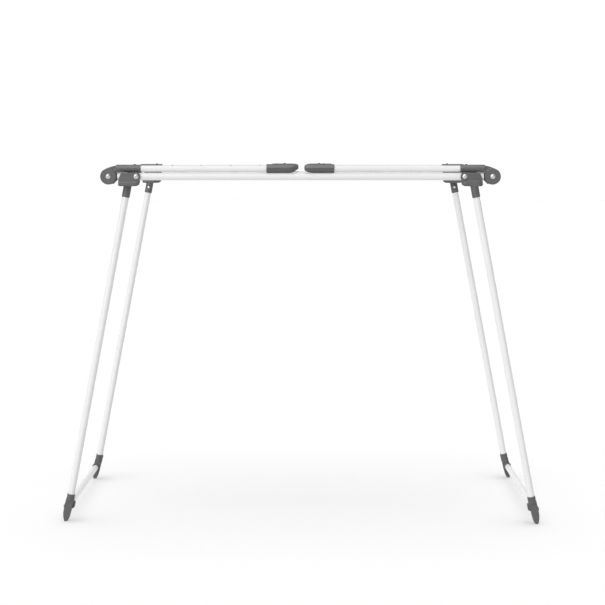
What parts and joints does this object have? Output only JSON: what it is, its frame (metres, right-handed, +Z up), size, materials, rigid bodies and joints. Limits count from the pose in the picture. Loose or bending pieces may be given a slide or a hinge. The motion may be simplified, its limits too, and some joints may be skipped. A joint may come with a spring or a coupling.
{
  "type": "clothes drying rack",
  "caption": "Folding floor-standing clothes drying rack: rod frame on two splayed leg frames, with two fold-out wings shown folded in on top.",
  "frame": {"origin": "on the floor, under the middle of the standing rack", "axes": "+X along the rack to the right leg frame, +Y from front to rear across the rack, +Z up"},
  "size_m": [1.2804, 0.6142, 0.9614],
  "materials": {
    "white_steel": "white powder coat, semi-gloss",
    "grey_plastic": "dark grey moulded polypropylene, fine grain",
    "zinc": "bright zinc-plated fasteners",
    "black_zinc": "black zinc-plated screws"
  },
  "bodies": {
    "centre_frame": {"centre_rods": "white_steel", "front_left_knuckle": "grey_plastic", "front_rail": "white_steel", "front_right_knuckle": "grey_plastic", "hinge_bolts": "zinc", "hinge_nuts": "zinc", "left_cross_tube": "white_steel", "leg_pivot_bolts": "zinc", "leg_pivot_nuts": "zinc", "rear_left_knuckle": "grey_plastic", "rear_rail": "white_steel", "rear_right_knuckle": "grey_plastic", "right_cross_tube": "white_steel"},
    "left_legs": {"left_crossbar": "white_steel", "left_front_bracket": "grey_plastic", "left_front_foot": "grey_plastic", "left_front_leg": "white_steel", "left_leg_rivets": "zinc", "left_rear_bracket": "grey_plastic", "left_rear_foot": "grey_plastic", "left_rear_leg": "white_steel"},
    "left_wing": {"left_wing_front_elbow": "grey_plastic", "left_wing_front_tip": "grey_plastic", "left_wing_front_tube": "white_steel", "left_wing_grommets": "grey_plastic", "left_wing_outer_bar": "white_steel", "left_wing_rear_elbow": "grey_plastic", "left_wing_rear_tip": "grey_plastic", "left_wing_rear_tube": "white_steel", "left_wing_rods": "white_steel", "left_wing_screws": "black_zinc"},
    "right_legs": {"right_crossbar": "white_steel", "right_front_bracket": "grey_plastic", "right_front_foot": "grey_plastic", "right_front_leg": "white_steel", "right_leg_rivets": "zinc", "right_rear_bracket": "grey_plastic", "right_rear_foot": "grey_plastic", "right_rear_leg": "white_steel"},
    "right_wing": {"right_wing_front_elbow": "grey_plastic", "right_wing_front_tip": "grey_plastic", "right_wing_front_tube": "white_steel", "right_wing_grommets": "grey_plastic", "right_wing_outer_bar": "white_steel", "right_wing_rear_elbow": "grey_plastic", "right_wing_rear_tip": "grey_plastic", "right_wing_rear_tube": "white_steel", "right_wing_rods": "white_steel", "right_wing_screws": "black_zinc"}
  },
  "joints": [
    {"name": "left_wing_hinge", "type": "hinge", "parent": "centre_frame", "child": "left_wing", "pos_m": [-0.505, 0, 0.92677], "axis": [0, -1, 0], "range_deg": [0, 180]},
    {"name": "right_wing_hinge", "type": "hinge", "parent": "centre_frame", "child": "right_wing", "pos_m": [0.505, 0, 0.92677], "axis": [0, 1, 0], "range_deg": [0, 180]},
    {"name": "left_leg_pivot", "type": "hinge", "parent": "centre_frame", "child": "left_legs", "pos_m": [-0.4315, 0, 0.92677], "axis": [0, -1, 0], "range_deg": [0, 97]},
    {"name": "right_leg_pivot", "type": "hinge", "parent": "centre_frame", "child": "right_legs", "pos_m": [0.4315, 0, 0.92677], "axis": [0, 1, 0], "range_deg": [0, 90]}
  ]
}
